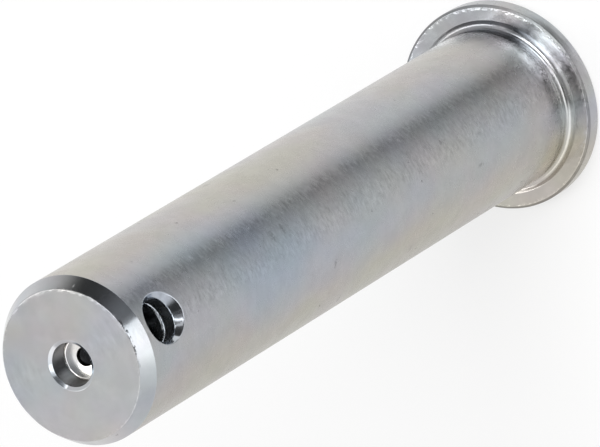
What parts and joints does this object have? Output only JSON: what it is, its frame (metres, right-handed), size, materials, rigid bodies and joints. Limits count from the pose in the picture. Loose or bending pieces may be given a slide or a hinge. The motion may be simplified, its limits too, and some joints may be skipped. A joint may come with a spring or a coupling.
{
  "type": "clevis pin",
  "caption": "Round steel clevis pin with a thin flange head, a relief groove under the head, a chamfered tip with a centre hole, and a countersunk split-pin hole across the tip.",
  "frame": {"origin": "middle of the head's outer face, the face that the pin stands on", "axes": "+Z along the pin's axis, from the head to the tip; the split-pin hole runs along Y"},
  "size_m": [0.032, 0.032, 0.125],
  "materials": {
    "zinc_plated_steel": "satin zinc plating on the shank, brighter turned faces at the tip, in the holes and under the head"
  },
  "bodies": {
    "root": {"pin": "zinc_plated_steel"}
  },
  "joints": []
}
